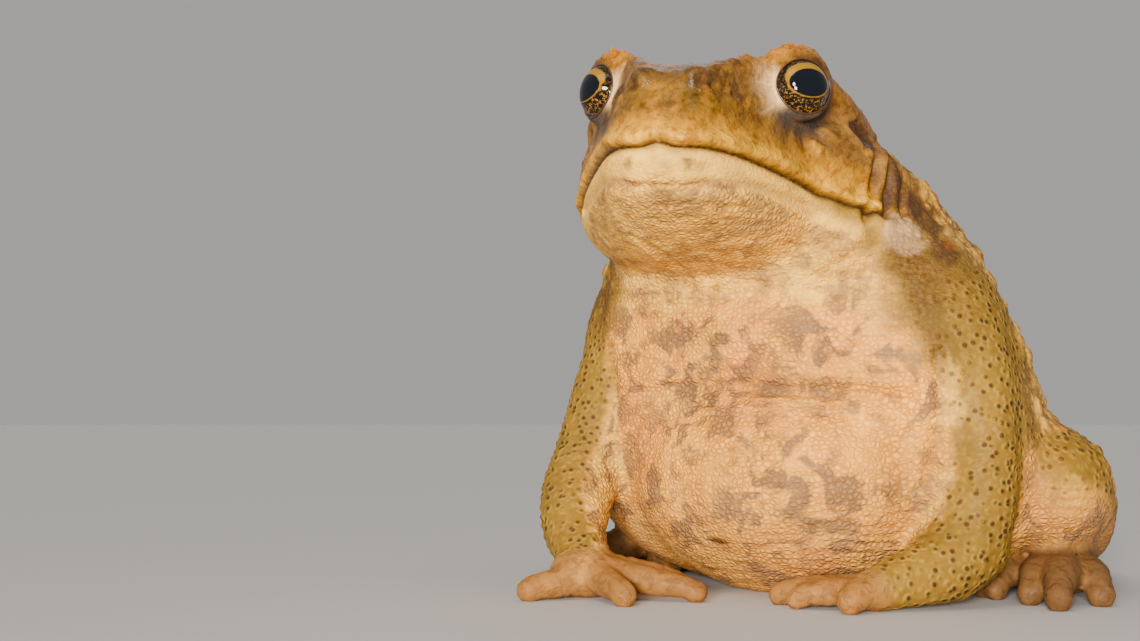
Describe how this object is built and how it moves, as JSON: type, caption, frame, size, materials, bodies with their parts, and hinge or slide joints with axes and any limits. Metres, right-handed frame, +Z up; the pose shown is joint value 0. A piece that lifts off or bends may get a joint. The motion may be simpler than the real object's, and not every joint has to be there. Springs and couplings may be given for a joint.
{
  "type": "cane toad figure",
  "caption": "Life-size cane toad sitting up on its forelegs with its head raised, throat and belly showing, as a still natural-history model.",
  "frame": {"origin": "on the flat under the belly, on the body's middle plane, at the level of the floor", "axes": "+Z up, -Y the way the toad's body faces, +X towards the toad's left"},
  "size_m": [0.1199, 0.1263, 0.1079],
  "materials": {
    "head": "moist matt skin",
    "torso": "moist matt skin",
    "eye_left": "gloss",
    "eye_right": "gloss",
    "upper_arm_left": "moist matt skin",
    "upper_arm_right": "moist matt skin",
    "forearm_left": "moist matt skin",
    "forearm_right": "moist matt skin",
    "hand_left": "moist matt skin",
    "hand_right": "moist matt skin",
    "thigh_left": "moist matt skin",
    "thigh_right": "moist matt skin",
    "shank_left": "moist matt skin",
    "shank_right": "moist matt skin",
    "foot_left": "moist matt skin",
    "foot_right": "moist matt skin"
  },
  "bodies": {
    "root": {"head": "head", "torso": "torso", "eye_left": "eye_left", "eye_right": "eye_right", "upper_arm_left": "upper_arm_left", "upper_arm_right": "upper_arm_right", "forearm_left": "forearm_left", "forearm_right": "forearm_right", "hand_left": "hand_left", "hand_right": "hand_right", "thigh_left": "thigh_left", "thigh_right": "thigh_right", "shank_left": "shank_left", "shank_right": "shank_right", "foot_left": "foot_left", "foot_right": "foot_right"}
  },
  "joints": []
}
